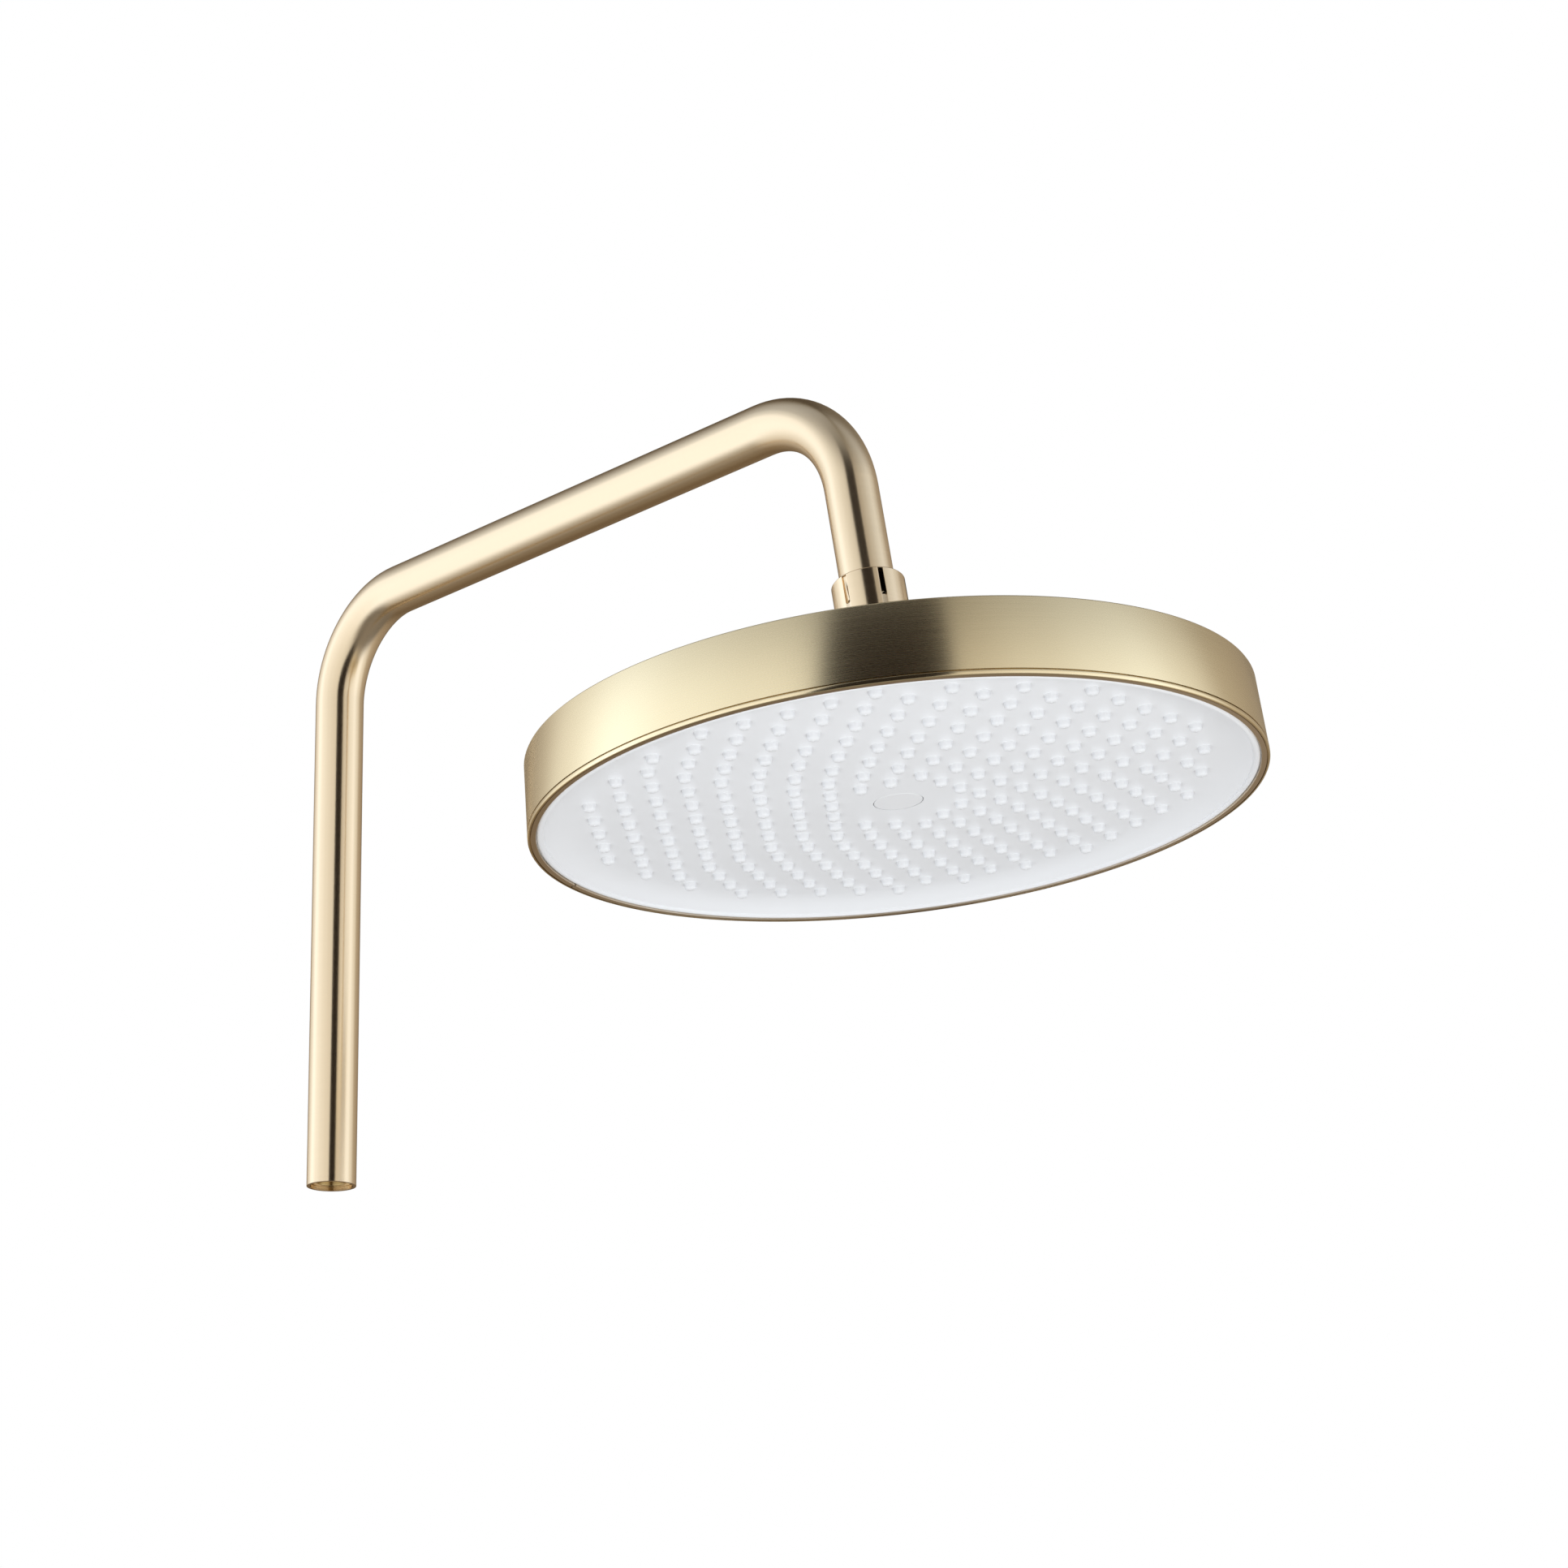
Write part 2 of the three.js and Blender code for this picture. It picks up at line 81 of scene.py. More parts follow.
def finish_shape(name, place=None, smooth=35, bevel=0.0, bevel_steps=2):
    """Name the piece, put its place into its mesh, round its edges and smooth it."""
    bpy.ops.object.mode_set(mode="OBJECT")
    piece = bpy.context.object
    piece.name = piece.data.name = name
    if bevel:
        rounding = piece.modifiers.new("rounding", "BEVEL")
        rounding.width, rounding.segments, rounding.limit_method = bevel, bevel_steps, "ANGLE"
        rounding.angle_limit = math.radians(28)
        rounding.harden_normals = False
        bpy.ops.object.modifier_apply(modifier="rounding")
    bpy.ops.object.transform_apply(location=True, rotation=True, scale=True)
    if place is not None:
        piece.matrix_world = place
        bpy.ops.object.transform_apply(location=True, rotation=True, scale=True)
    bpy.ops.object.shade_smooth_by_angle(angle=math.radians(smooth))
    return piece


bend_start = arm_height - riser_bend
arm_turn = math.pi / 2 - drop_lean
drop_back = drop_bend * math.tan(arm_turn / 2)
arm_end = -(arm_reach - drop_back)
start_shape()
bpy.ops.mesh.primitive_circle_add(vertices=64, radius=tube_radius, location=(0, 0, 0))
bpy.ops.object.mode_set(mode="EDIT")
bpy.ops.mesh.extrude_region_move(TRANSFORM_OT_translate={"value": (0, 0, bend_start)})
bpy.ops.mesh.spin(steps=24, angle=math.pi / 2, center=(0, -riser_bend, bend_start), axis=(-1, 0, 0))
bpy.ops.mesh.extrude_region_move(TRANSFORM_OT_translate={"value": (0, arm_end + riser_bend, 0)})
bpy.ops.mesh.spin(steps=24, angle=arm_turn, center=(0, arm_end, arm_height - drop_bend), axis=(-1, 0, 0))
drop_way = Vector((0, -math.sin(drop_lean), -math.cos(drop_lean)))
drop_foot = Vector((0, -arm_reach, arm_height)) + drop_way * drop_length
bend_foot = Vector((0, -arm_reach, arm_height)) + drop_way * drop_back
bpy.ops.mesh.extrude_region_move(TRANSFORM_OT_translate={"value": tuple(drop_foot - bend_foot)})
bpy.ops.mesh.select_all(action="SELECT")
bpy.ops.mesh.remove_doubles(threshold=1e-6)
bpy.ops.mesh.normals_make_consistent(inside=False)
shower_tube = finish_shape("shower_tube_bent")
wall = shower_tube.modifiers.new("wall", "SOLIDIFY")
wall.thickness, wall.offset = tube_wall, -1
bpy.ops.object.modifier_apply(modifier="wall")
bpy.ops.object.shade_smooth_by_angle(angle=math.radians(35))

# distance along the tube and angle round it, for the brushing
run_map = shower_tube.data.uv_layers.new(name="run")
bend_length, arm_start = riser_bend * math.pi / 2, bend_start
for corner in shower_tube.data.loops:
    p = shower_tube.data.vertices[corner.vertex_index].co
    if p.z < bend_start and p.y > -riser_bend:
        along, across = p.z, Vector((p.x, -p.y))
    elif p.y > -riser_bend:
        spoke = Vector((p.y + riser_bend, p.z - bend_start))
        turn = math.atan2(spoke.y, spoke.x)
        along, across = bend_start + turn * riser_bend, Vector((p.x, riser_bend - spoke.length))
    elif p.y > arm_end:
        along = bend_start + bend_length - riser_bend - p.y
        across = Vector((p.x, arm_height - p.z))
    else:
        spoke = Vector((p.z - arm_height + drop_bend, arm_end - p.y))
        turn = math.atan2(spoke.y, spoke.x)
        if turn < arm_turn:
            along = bend_start + bend_length - riser_bend - arm_end + turn * drop_bend
            across = Vector((p.x, drop_bend - spoke.length))
        else:
            beyond = p - bend_foot
            along = bend_start + bend_length - riser_bend - arm_end + arm_turn * drop_bend + beyond.dot(drop_way)
            across = Vector((p.x, -beyond.dot(Vector((0, -math.cos(drop_lean), math.sin(drop_lean))))))
    round_at = (math.atan2(across.x, across.y) / (2 * math.pi)) % 1.0
    run_map.data[corner.index].uv = (round_at, along)
for face in shower_tube.data.polygons:
    turns = [run_map.data[i].uv.x for i in face.loop_indices]
    if max(turns) - min(turns) > 0.5:
        for i in face.loop_indices:
            if run_map.data[i].uv.x < 0.5:
                run_map.data[i].uv.x += 1


def material_nodes(name):
    material = bpy.data.materials.new(name)
    material.use_nodes = True
    nodes, links = material.node_tree.nodes, material.node_tree.links
    return material, nodes, links, nodes["Principled BSDF"]


def gold_finish(name, tint, roughness, grain, place=None, run=False, axis_scale=1.0):
    """Champagne gold over brass, brushed round a turned piece's axis or round the tube."""
    material, nodes, links, shader = material_nodes(name)
    shader.inputs["Metallic"].default_value = 1
    shader.inputs["Anisotropic"].default_value = 0.8
    shader.inputs["Anisotropic Rotation"].default_value = 0.25
    if run:
        source = nodes.new("ShaderNodeUVMap")
        source.uv_map = "run"
        stretch = nodes.new("ShaderNodeMapping")
        stretch.inputs["Scale"].default_value = (3.0, 1.0, 1.0)
        links.new(source.outputs["UV"], stretch.inputs["Vector"])
        split = nodes.new("ShaderNodeSeparateXYZ")
        links.new(stretch.outputs["Vector"], split.inputs["Vector"])
        grain_place = nodes.new("ShaderNodeCombineXYZ")
        fine = nodes.new("ShaderNodeMath")
        fine.operation = "MULTIPLY"
        fine.inputs[1].default_value = grain
        links.new(split.outputs["Y"], fine.inputs[0])
        links.new(split.outputs["X"], grain_place.inputs["X"])
        links.new(fine.outputs[0], grain_place.inputs["Y"])
        tangent = nodes.new("ShaderNodeTangent")
        tangent.direction_type = "UV_MAP"
        tangent.uv_map = "run"
        links.new(tangent.outputs["Tangent"], shader.inputs["Tangent"])
    else:
        source = nodes.new("ShaderNodeTexCoord")
        turn = nodes.new("ShaderNodeMapping")
        turn.vector_type = "TEXTURE"
        turn.inputs["Location"].default_value = place.to_translation()
        turn.inputs["Rotation"].default_value = place.to_euler()
        links.new(source.outputs["Object"], turn.inputs["Vector"])
        split = nodes.new("ShaderNodeSeparateXYZ")
        links.new(turn.outputs["Vector"], split.inputs["Vector"])
        flat = nodes.new("ShaderNodeCombineXYZ")
        links.new(split.outputs["X"], flat.inputs["X"])
        links.new(split.outputs["Y"], flat.inputs["Y"])
        radius = nodes.new("ShaderNodeVectorMath")
        radius.operation = "LENGTH"
        links.new(flat.outputs[0], radius.inputs[0])
        height = nodes.new("ShaderNodeMath")
        height.operation = "ADD"
        links.new(split.outputs["Z"], height.inputs[0])
        links.new(radius.outputs["Value"], height.inputs[1])
        fine = nodes.new("ShaderNodeMath")
        fine.operation = "MULTIPLY"
        fine.inputs[1].default_value = grain
        links.new(height.outputs[0], fine.inputs[0])
        coarse = nodes.new("ShaderNodeVectorMath")
        coarse.operation = "SCALE"
        coarse.inputs["Scale"].default_value = 25 * axis_scale
        links.new(flat.outputs[0], coarse.inputs[0])
        grain_flat = nodes.new("ShaderNodeSeparateXYZ")
        links.new(coarse.outputs[0], grain_flat.inputs[0])
        grain_place = nodes.new("ShaderNodeCombineXYZ")
        links.new(grain_flat.outputs["X"], grain_place.inputs["X"])
        links.new(grain_flat.outputs["Y"], grain_place.inputs["Y"])
        links.new(fine.outputs[0], grain_place.inputs["Z"])
        # the brushing's direction: round the axis, square to the radius
        axis = place.to_3x3() @ Vector((0, 0, 1))
        centre = nodes.new("ShaderNodeVectorMath")
        centre.operation = "SUBTRACT"
        centre.inputs[1].default_value = place.to_translation()
        links.new(source.outputs["Object"], centre.inputs[0])
        round_way = nodes.new("ShaderNodeVectorMath")
        round_way.operation = "CROSS_PRODUCT"
        round_way.inputs[0].default_value = axis
        links.new(centre.outputs[0], round_way.inputs[1])
        to_world = nodes.new("ShaderNodeVectorTransform")
        to_world.vector_type, to_world.convert_from, to_world.convert_to = "VECTOR", "OBJECT", "WORLD"
        links.new(round_way.outputs[0], to_world.inputs[0])
        unit = nodes.new("ShaderNodeVectorMath")
        unit.operation = "NORMALIZE"
        links.new(to_world.outputs[0], unit.inputs[0])
        links.new(unit.outputs[0], shader.inputs["Tangent"])
    streaks = nodes.new("ShaderNodeTexNoise")
    streaks.inputs["Scale"].default_value = 1
    streaks.inputs["Detail"].default_value = 3
    links.new(grain_place.outputs[0], streaks.inputs["Vector"])
    colour = nodes.new("ShaderNodeMix")
    colour.data_type = "RGBA"
    colour.inputs["A"].default_value = (*[c * 0.965 for c in tint], 1)
    colour.inputs["B"].default_value = (*[min(1, c * 1.035) for c in tint], 1)
    links.new(streaks.outputs["Fac"], colour.inputs["Factor"])
    links.new(colour.outputs["Result"], shader.inputs["Base Color"])
    rough = nodes.new("ShaderNodeMapRange")
    rough.inputs["From Min"].default_value, rough.inputs["From Max"].default_value = 0.3, 0.7
    rough.inputs["To Min"].default_value, rough.inputs["To Max"].default_value = roughness - 0.015, roughness + 0.015
    links.new(streaks.outputs["Fac"], rough.inputs["Value"])
    links.new(rough.outputs["Result"], shader.inputs["Roughness"])
    bump = nodes.new("ShaderNodeBump")
    bump.inputs["Strength"].default_value = 0.05
    bump.inputs["Distance"].default_value = 0.00002
    links.new(streaks.outputs["Fac"], bump.inputs["Height"])
    links.new(bump.outputs["Normal"], shader.inputs["Normal"])
    return material


champagne = (0.83, 0.655, 0.43)
shower_tube.data.materials.append(gold_finish("tube_gold", champagne, 0.24, 1900, run=True))
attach(shower_tube, "column")
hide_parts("shower_tube")

# ---- riser joiner ---------------------------------------------------------------------
# A turned brass insert pushed into the riser's foot, where the lower length of the column
# plugs on. Its two O-ring grooves hold it tight in the tube.


def turned(name, corners, place, steps=96, bevel=0.0, bevel_steps=2, closed=True, smooth=35):
    """Turn a piece from (radius, height) corners in mm; closed rings join back to their start."""
    start_shape()
    r, z = corners[0]
    bpy.ops.mesh.primitive_circle_add(vertices=steps, radius=r * MM, location=(0, 0, z * MM))
    bpy.ops.object.mode_set(mode="EDIT")
    for r_next, z_next in corners[1:] + (corners[:1] if closed else []):
        bpy.ops.mesh.extrude_region_move(TRANSFORM_OT_translate={"value": (0, 0, (z_next - z) * MM)})
        bpy.ops.transform.resize(value=(r_next / r, r_next / r, 1), center_override=(0, 0, z_next * MM))
        r, z = r_next, z_next
    bpy.ops.mesh.select_all(action="SELECT")
    bpy.ops.mesh.remove_doubles(threshold=2e-6)
    if not closed:
        bpy.ops.mesh.fill_holes(sides=0)
    bpy.ops.mesh.normals_make_consistent(inside=False)
    return finish_shape(name, place, smooth, bevel * MM, bevel_steps)


riser_joiner = turned("riser_joiner_turned", [(5.6, 1.5), (8, 1.5), (8, 9), (6.6, 9), (6.6, 11.2), (8, 11.2),
                                              (8, 17), (6.6, 17), (6.6, 19.2), (8, 19.2), (8, 27), (5.6, 27)],
                      Matrix.Identity(4), bevel=0.25)
riser_joiner.data.materials.append(gold_finish("joiner_brass", (0.62, 0.45, 0.2), 0.3, 2600,
                                               Matrix.Identity(4)))
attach(riser_joiner, "column")
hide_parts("riser_joiner")

# ---- rubber rings ---------------------------------------------------------------------
# Black nitrile O-rings and washers, moulded, with a faint mould bloom on the skin.


def moulded(name, light, dark, roughness, scale, bump_depth, sheen=0.0, under=0.0):
    """Moulded rubber or plastic: cloudy colour, fine orange peel and uneven gloss."""
    material, nodes, links, shader = material_nodes(name)
    shader.inputs["Sheen Weight"].default_value = sheen
    shader.inputs["Subsurface Weight"].default_value = under
    shader.inputs["Subsurface Scale"].default_value = 0.002
    source = nodes.new("ShaderNodeTexCoord")
    cloud = nodes.new("ShaderNodeTexNoise")
    cloud.inputs["Scale"].default_value, cloud.inputs["Detail"].default_value = scale, 4
    links.new(source.outputs["Object"], cloud.inputs["Vector"])
    peel = nodes.new("ShaderNodeTexNoise")
    peel.inputs["Scale"].default_value, peel.inputs["Detail"].default_value = scale * 22, 2
    links.new(source.outputs["Object"], peel.inputs["Vector"])
    colour = nodes.new("ShaderNodeMix")
    colour.data_type = "RGBA"
    colour.inputs["A"].default_value, colour.inputs["B"].default_value = (*dark, 1), (*light, 1)
    links.new(cloud.outputs["Fac"], colour.inputs["Factor"])
    links.new(colour.outputs["Result"], shader.inputs["Base Color"])
    gloss = nodes.new("ShaderNodeMapRange")
    gloss.inputs["To Min"].default_value, gloss.inputs["To Max"].default_value = roughness - 0.06, roughness + 0.06
    links.new(cloud.outputs["Fac"], gloss.inputs["Value"])
    links.new(gloss.outputs["Result"], shader.inputs["Roughness"])
    bump = nodes.new("ShaderNodeBump")
    bump.inputs["Strength"].default_value, bump.inputs["Distance"].default_value = 0.3, bump_depth
    links.new(peel.outputs["Fac"], bump.inputs["Height"])
    links.new(bump.outputs["Normal"], shader.inputs["Normal"])
    return material


def dress(material, *nodes):
    """Put a material on carried-over pieces."""
    for node in nodes:
        for i in range(len(bpy.data.objects[node].data.materials)):
            bpy.data.objects[node].data.materials[i] = material


dress(moulded("nitrile", (0.035, 0.035, 0.036), (0.018, 0.018, 0.019), 0.55, 60, 0.00003, sheen=0.1),
      "joiner_o_ring_lower", "joiner_o_ring_upper", "union_washer", "inlet_o_ring", "chamber_gasket")

# ---- tail piece, screen and flow disc -------------------------------------------------
# A flanged brass tail soldered into the drop tube, then the stamped steel mesh screen and
# the grey nylon flow disc that lie between it and the swivel.
drop_frame = Matrix.Translation((0, -0.300477, 0.131182)) @ Matrix.Rotation(-drop_lean, 4, "X")
dress(gold_finish("tail_brass", (0.62, 0.45, 0.2), 0.34, 2600, drop_frame), "tail_piece", "pressure_ring")
dress(moulded("stamped_steel", (0.62, 0.62, 0.63), (0.45, 0.45, 0.46), 0.32, 90, 0.00002), "filter_screen")
dress(moulded("grey_nylon", (0.3, 0.31, 0.33), (0.24, 0.25, 0.27), 0.5, 60, 0.00002), "flow_disc")

# ---- union nut ------------------------------------------------------------------------
# A turned brass nut with six round-ended grip slots milled down from its top edge and two
# wrench flats lower down. It draws the swivel socket up against the washer.
nut_radius, nut_low, nut_high, slot_long = 12.8, -2.9, 29, 11.4
union_nut = turned("union_nut_slotted", [(9.8, nut_high), (9.8, 17.7), (10.6, 17.7), (10.6, nut_low),
                                         (12.5, nut_low), (nut_radius, nut_low + 0.35),
                                         (nut_radius, nut_high - 0.35), (12.5, nut_high)],
                   Matrix.Identity(4), steps=144)


def mill_away(piece, cutter):
    """Cut a shape out of a piece."""
    bpy.ops.object.mode_set(mode="OBJECT")
    bpy.ops.object.select_all(action="DESELECT")
    bpy.context.view_layer.objects.active = piece
    piece.select_set(True)
    milling = piece.modifiers.new("milling", "BOOLEAN")
    milling.object, milling.solver = cutter, "EXACT"
    bpy.ops.object.modifier_apply(modifier="milling")
    bpy.data.objects.remove(cutter)


for i in range(6):
    turn = math.radians(244 + 60 * i)
    start_shape()
    bpy.ops.mesh.primitive_cylinder_add(vertices=24, radius=0.95 * MM, depth=6 * MM,
                                        rotation=(0, math.pi / 2, turn),
                                        location=(15 * MM * math.cos(turn), 15 * MM * math.sin(turn),
                                                  (nut_high - slot_long + 0.95) * MM))
    mill_away(union_nut, bpy.context.object)
    start_shape()
    bpy.ops.mesh.primitive_cube_add(size=1, rotation=(0, 0, turn), scale=(6 * MM, 1.9 * MM, 10 * MM),
                                    location=(15 * MM * math.cos(turn), 15 * MM * math.sin(turn),
                                              (nut_high - slot_long + 5.95) * MM))
    mill_away(union_nut, bpy.context.object)
for side in (0, 180):
    turn = math.radians(310 + side)
    start_shape()
    bpy.ops.mesh.primitive_cube_add(size=1, location=(14.5 * MM * math.cos(turn), 14.5 * MM * math.sin(turn), 2.4 * MM),
                                    rotation=(0, 0, turn), scale=(6 * MM, 30 * MM, 30 * MM))
    mill_away(union_nut, bpy.context.object)
bpy.ops.object.mode_set(mode="EDIT")
bpy.ops.mesh.select_all(action="SELECT")
bpy.ops.mesh.remove_doubles(threshold=2e-6)
bpy.ops.mesh.normals_make_consistent(inside=False)
union_nut = finish_shape("union_nut_slotted", drop_frame, smooth=30, bevel=0.09 * MM)
champagne_nut = gold_finish("nut_gold", champagne, 0.2, 1900, drop_frame)
union_nut.data.materials.append(champagne_nut)
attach(union_nut, "column")
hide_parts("union_nut")

# ---- ball swivel ----------------------------------------------------------------------
# A brass ball stem held between two slippery liners in a turned brass socket; the stem
# carries the head and a thin hexagonal locknut.
head_frame = (Matrix.Translation((0, -0.300477, 0.131182)) @ Matrix.Rotation(math.radians(-3.743), 4, "X")
              @ Matrix.Rotation(math.radians(-3.311), 4, "Y"))
rim_frame = head_frame @ Matrix.Translation((0, 0, -54 * MM))


def round_part(radius, start, end, steps):
    """Corners along a ball of this radius between two angles from straight down."""
    turns = [math.radians(start + (end - start) * i / steps) for i in range(steps + 1)]
    return [(radius * math.sin(t), -radius * math.cos(t)) for t in turns]


swivel_socket = turned("swivel_socket_turned", round_part(9.2, 50, 90, 12) + [
    (9.2, 12.6), (9.9, 12.6), (10.3, 12.2), (10.3, -5.5), (9.5, -6.5), (9.2 * math.sin(math.radians(50)) + 0.5, -6.5)],
    drop_frame, bevel=0.15)
swivel_socket.data.materials.append(gold_finish("socket_brass", (0.62, 0.45, 0.2), 0.28, 3000, drop_frame))
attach(swivel_socket, "column")
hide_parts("swivel_socket")
ball_stem = turned("ball_stem_turned", [(2.8, -24.4), (6.1, -24.4), (6.6, -23.9), (6.6, -10.8), (4.5, -8.8)]
                   + round_part(7.6, 36.31, 158.38, 24), head_frame)
ball_stem.data.materials.append(gold_finish("ball_brass", (0.66, 0.5, 0.26), 0.14, 3000, head_frame))
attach(ball_stem, "rain_head")
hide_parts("ball_stem")
start_shape()
bpy.ops.mesh.primitive_cylinder_add(vertices=6, radius=8.5 / math.cos(math.pi / 6) * MM, depth=3.5 * MM,
                                    location=(0, 0, 40.25 * MM), rotation=(0, 0, math.pi / 2))
stem_locknut = bpy.context.object
bpy.ops.object.transform_apply(location=True, rotation=True, scale=True)
start_shape()
bpy.ops.mesh.primitive_cylinder_add(vertices=64, radius=6.9 * MM, depth=9 * MM, location=(0, 0, 40.25 * MM))
mill_away(stem_locknut, bpy.context.object)
stem_locknut = finish_shape("stem_locknut_hex", rim_frame, bevel=0.25 * MM)
stem_locknut.data.materials.append(gold_finish("locknut_gold", champagne, 0.24, 3000, rim_frame))
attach(stem_locknut, "rain_head")
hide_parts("stem_locknut")
dress(moulded("liner_ptfe", (0.82, 0.81, 0.77), (0.74, 0.73, 0.69), 0.42, 80, 0.00002),
      "ball_liner_upper", "ball_liner_lower")

# ---- inlet boss -----------------------------------------------------------------------
# The turned and gold-plated boss screwed over the stem; a plain brass ring nut clamps it
# through the shell's top.
inlet_boss = turned("inlet_boss_turned", [(9.3, 22), (9.3, 29), (6.9, 29.2), (6.9, 38.2), (10.2, 38.2), (11.2, 37.4),
                                          (11.5, 35.2), (12.4, 31), (13.1, 29.7), (14.5, 28.8), (17.2, 28),
                                          (17.6, 27.5), (17.6, 26.8), (14, 26.8), (14, 22)],
                    rim_frame, bevel=0.2)
inlet_boss.data.materials.append(gold_finish("boss_gold", champagne, 0.24, 3200, rim_frame))
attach(inlet_boss, "rain_head")
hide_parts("inlet_boss")
dress(gold_finish("ring_nut_brass", (0.62, 0.45, 0.2), 0.34, 2600, rim_frame), "boss_ring_nut")

# ---- head shell -----------------------------------------------------------------------
# A spun brass drum, open below, with a nearly straight side and a flat top. It is brushed
# round and plated.
head_shell = turned("head_shell_spun", [(124.95, 1.9), (123.96, 25.9), (123.75, 26.3), (123.36, 26.5), (60, 26.5),
                                        (14.3, 26.5), (14.3, 25.3), (60, 25.3), (122.91, 25.3), (123.9, 1.9)],
                    rim_frame, steps=320, smooth=40)
head_shell.data.materials.append(gold_finish("shell_gold", (0.88, 0.73, 0.455), 0.27, 4200, rim_frame))
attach(head_shell, "rain_head")
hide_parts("head_shell")

# ---- bead ring and split ring ---------------------------------------------------------
# The turned trim ring under the shell shows as a small bright bead; a flat sprung split
# ring in the recess below it holds the white face, with its ends a millimetre apart.
bead_ring = turned("bead_ring_turned", [(124.2, 0), (124.6, 0), (124.85, 0.1), (125, 0.35), (125, 1.35), (124.88, 1.55),
                                        (124.6, 1.6), (123.6, 1.6), (123.6, 6.4), (122.8, 6.4), (122.8, 1.4),
                                        (124.2, 1.4)],
                   rim_frame, steps=320, smooth=50)
bead_ring.data.materials.append(gold_finish("bead_gold", (0.9, 0.74, 0.46), 0.2, 2600, rim_frame))
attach(bead_ring, "rain_head")
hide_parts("bead_ring")
split_ring = turned("split_ring_sprung", [(122.1, 0.2), (122.2, 0.1), (123.9, 0.1), (123.9, 1.1), (122.1, 1.1)],
                    Matrix.Identity(4), steps=320)
start_shape()
bpy.ops.mesh.primitive_cube_add(size=1, location=(0, 0, 0), scale=(8 * MM, 1 * MM, 4 * MM))
bpy.ops.object.transform_apply(location=False, rotation=False, scale=True)
bpy.context.object.matrix_world = (Matrix.Rotation(math.radians(112), 4, "Z")
                                   @ Matrix.Translation((123 * MM, 0, 0.7 * MM)))
bpy.ops.object.transform_apply(location=True, rotation=True, scale=True)
mill_away(split_ring, bpy.context.object)
split_ring = finish_shape("split_ring_sprung", rim_frame)
# the ring has the plating's gold, but its tint is made paler and brighter: painted light that lifts the downward-facing
# band
split_ring.data.materials.append(gold_finish("split_gold_painted_lighter", (0.92, 0.8, 0.64), 0.3, 2600, rim_frame))
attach(split_ring, "rain_head")
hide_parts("split_ring")

# ---- white face ring ------------------------------------------------------------------
# An injection-moulded white ABS ring with a rounded lip. It clips the soft nozzle sheet
# round its edge.
face_ring = turned("face_ring_moulded", [(119.2, 1.3), (119.35, 0.8), (119.65, 0.4), (120.3, 0.12), (121.2, 0.35),
                                         (121.65, 0.75), (121.8, 1.2), (121.8, 1.5), (122.5, 1.5), (122.5, 10.2),
                                         (121.2, 10.2), (121.2, 5), (119.2, 5)],
                   rim_frame, steps=320, smooth=50)
white_gloss = moulded("white_abs", (0.86, 0.865, 0.87), (0.83, 0.835, 0.84), 0.3, 40, 0.00001)
face_ring.data.materials.append(white_gloss)
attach(face_ring, "rain_head")
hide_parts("face_ring")

# ---- nozzle mat -----------------------------------------------------------------------
# One soft silicone sheet, gently domed toward the bather, moulded with 230 stubby nozzles
# on five-sided rings. Each nozzle has a rounded end with a pin-hole jet.


def dome(r):
    return 2.4 + 2.92336 * (r / 120.9) ** 2


sheet_steps = [8.55 + (105 - 8.55) * i / 12 for i in range(13)]
curl = [(106.5, 4.66), (108, 4.6), (109.5, 4.45), (111.5, 4.1), (113.5, 3.58), (115.3, 2.95), (117, 2.15), (118.4, 1.45),
        (119.28, 1.12)]
nozzle_mat = turned("nozzle_mat_moulded", [(r, dome(r)) for r in sheet_steps] + curl + [(119.1, 1.6), (119.1, 5.3), (120.9, 5.3)]
                    + [(r, dome(r) + 1.6) for r in [120.9] + sheet_steps[::-1]], Matrix.Identity(4), steps=192)
start_shape()
bpy.ops.mesh.primitive_circle_add(vertices=12, radius=2.4 * MM, location=(0, 0, 0.12 * MM))
bpy.ops.object.mode_set(mode="EDIT")
r, z = 2.4, 0.12
for r_next, z_next in ((2.28, -0.2), (2.22, -0.6), (2.16, -1.4), (2.0, -1.95), (1.6, -2.28), (0.4, -2.4), (0.3, -2.1)):
    bpy.ops.mesh.extrude_region_move(TRANSFORM_OT_translate={"value": (0, 0, (z_next - z) * MM)})
    bpy.ops.transform.resize(value=(r_next / r, r_next / r, 1), center_override=(0, 0, z_next * MM))
    r, z = r_next, z_next
bpy.ops.mesh.fill_holes(sides=0)
bpy.ops.mesh.select_all(action="SELECT")
bpy.ops.mesh.fill_holes(sides=0)
bpy.ops.mesh.normals_make_consistent(inside=False)
nozzle = finish_shape("nozzle", smooth=60)
nozzle_copies = []
for ring in range(8):
    corner = (22.2 + 11.62 * ring - 0.047 * ring * ring) / math.cos(math.radians(36))
    for side in range(5):
        a, b = math.radians(24.25 + 72 * side), math.radians(24.25 + 72 * (side + 1))
        for j in range(ring + 3):
            u = j / (ring + 3)
            x = corner * ((1 - u) * math.cos(a) + u * math.cos(b))
            y = corner * ((1 - u) * math.sin(a) + u * math.sin(b))
            if math.hypot(x, y) > 106:
                continue
            copy = nozzle.copy()
            copy.data = nozzle.data.copy()
            copy.matrix_world = Matrix.Translation((x * MM, y * MM, dome(math.hypot(x, y)) * MM))
            bpy.context.scene.collection.objects.link(copy)
            nozzle_copies.append(copy)
bpy.data.objects.remove(nozzle)
bpy.ops.object.select_all(action="DESELECT")
for copy in nozzle_copies:
    copy.select_set(True)
nozzle_mat.select_set(True)
bpy.context.view_layer.update()
bpy.context.view_layer.objects.active = nozzle_mat
bpy.ops.object.join()
nozzle_mat.matrix_world = rim_frame
bpy.ops.object.transform_apply(location=True, rotation=True, scale=True)
